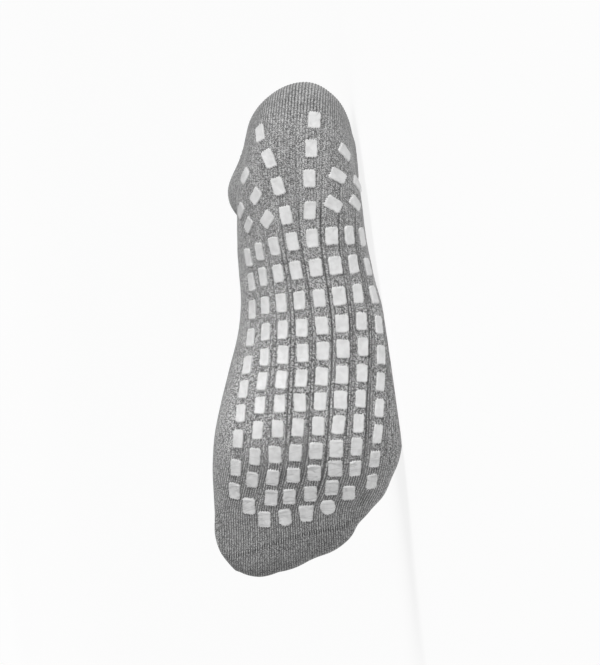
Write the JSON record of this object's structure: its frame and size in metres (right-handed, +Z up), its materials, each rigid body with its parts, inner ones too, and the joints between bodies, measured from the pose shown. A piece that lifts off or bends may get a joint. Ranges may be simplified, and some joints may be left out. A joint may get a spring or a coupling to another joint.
{
  "type": "slipper sock",
  "caption": "Knitted grip sock for a right foot, open at a ribbed cuff, with raised rectangular grip pads under the sole.",
  "frame": {"origin": "under the middle of the sock's box, on the floor that it lies on", "axes": "+X towards the heel along the foot, -Y the way the sole faces, +Z up, to the inner side of the foot"},
  "size_m": [0.2448, 0.1396, 0.0982],
  "materials": {
    "heather_knit": "grey heather cotton knit with fine wales and darker grooves",
    "cuff_rib": "grey heather rib knit",
    "grip_silicone": "white silicone printed on the knit, soft gloss"
  },
  "bodies": {
    "root": {"knit_body": "heather_knit", "cuff": "cuff_rib"}
  },
  "joints": []
}
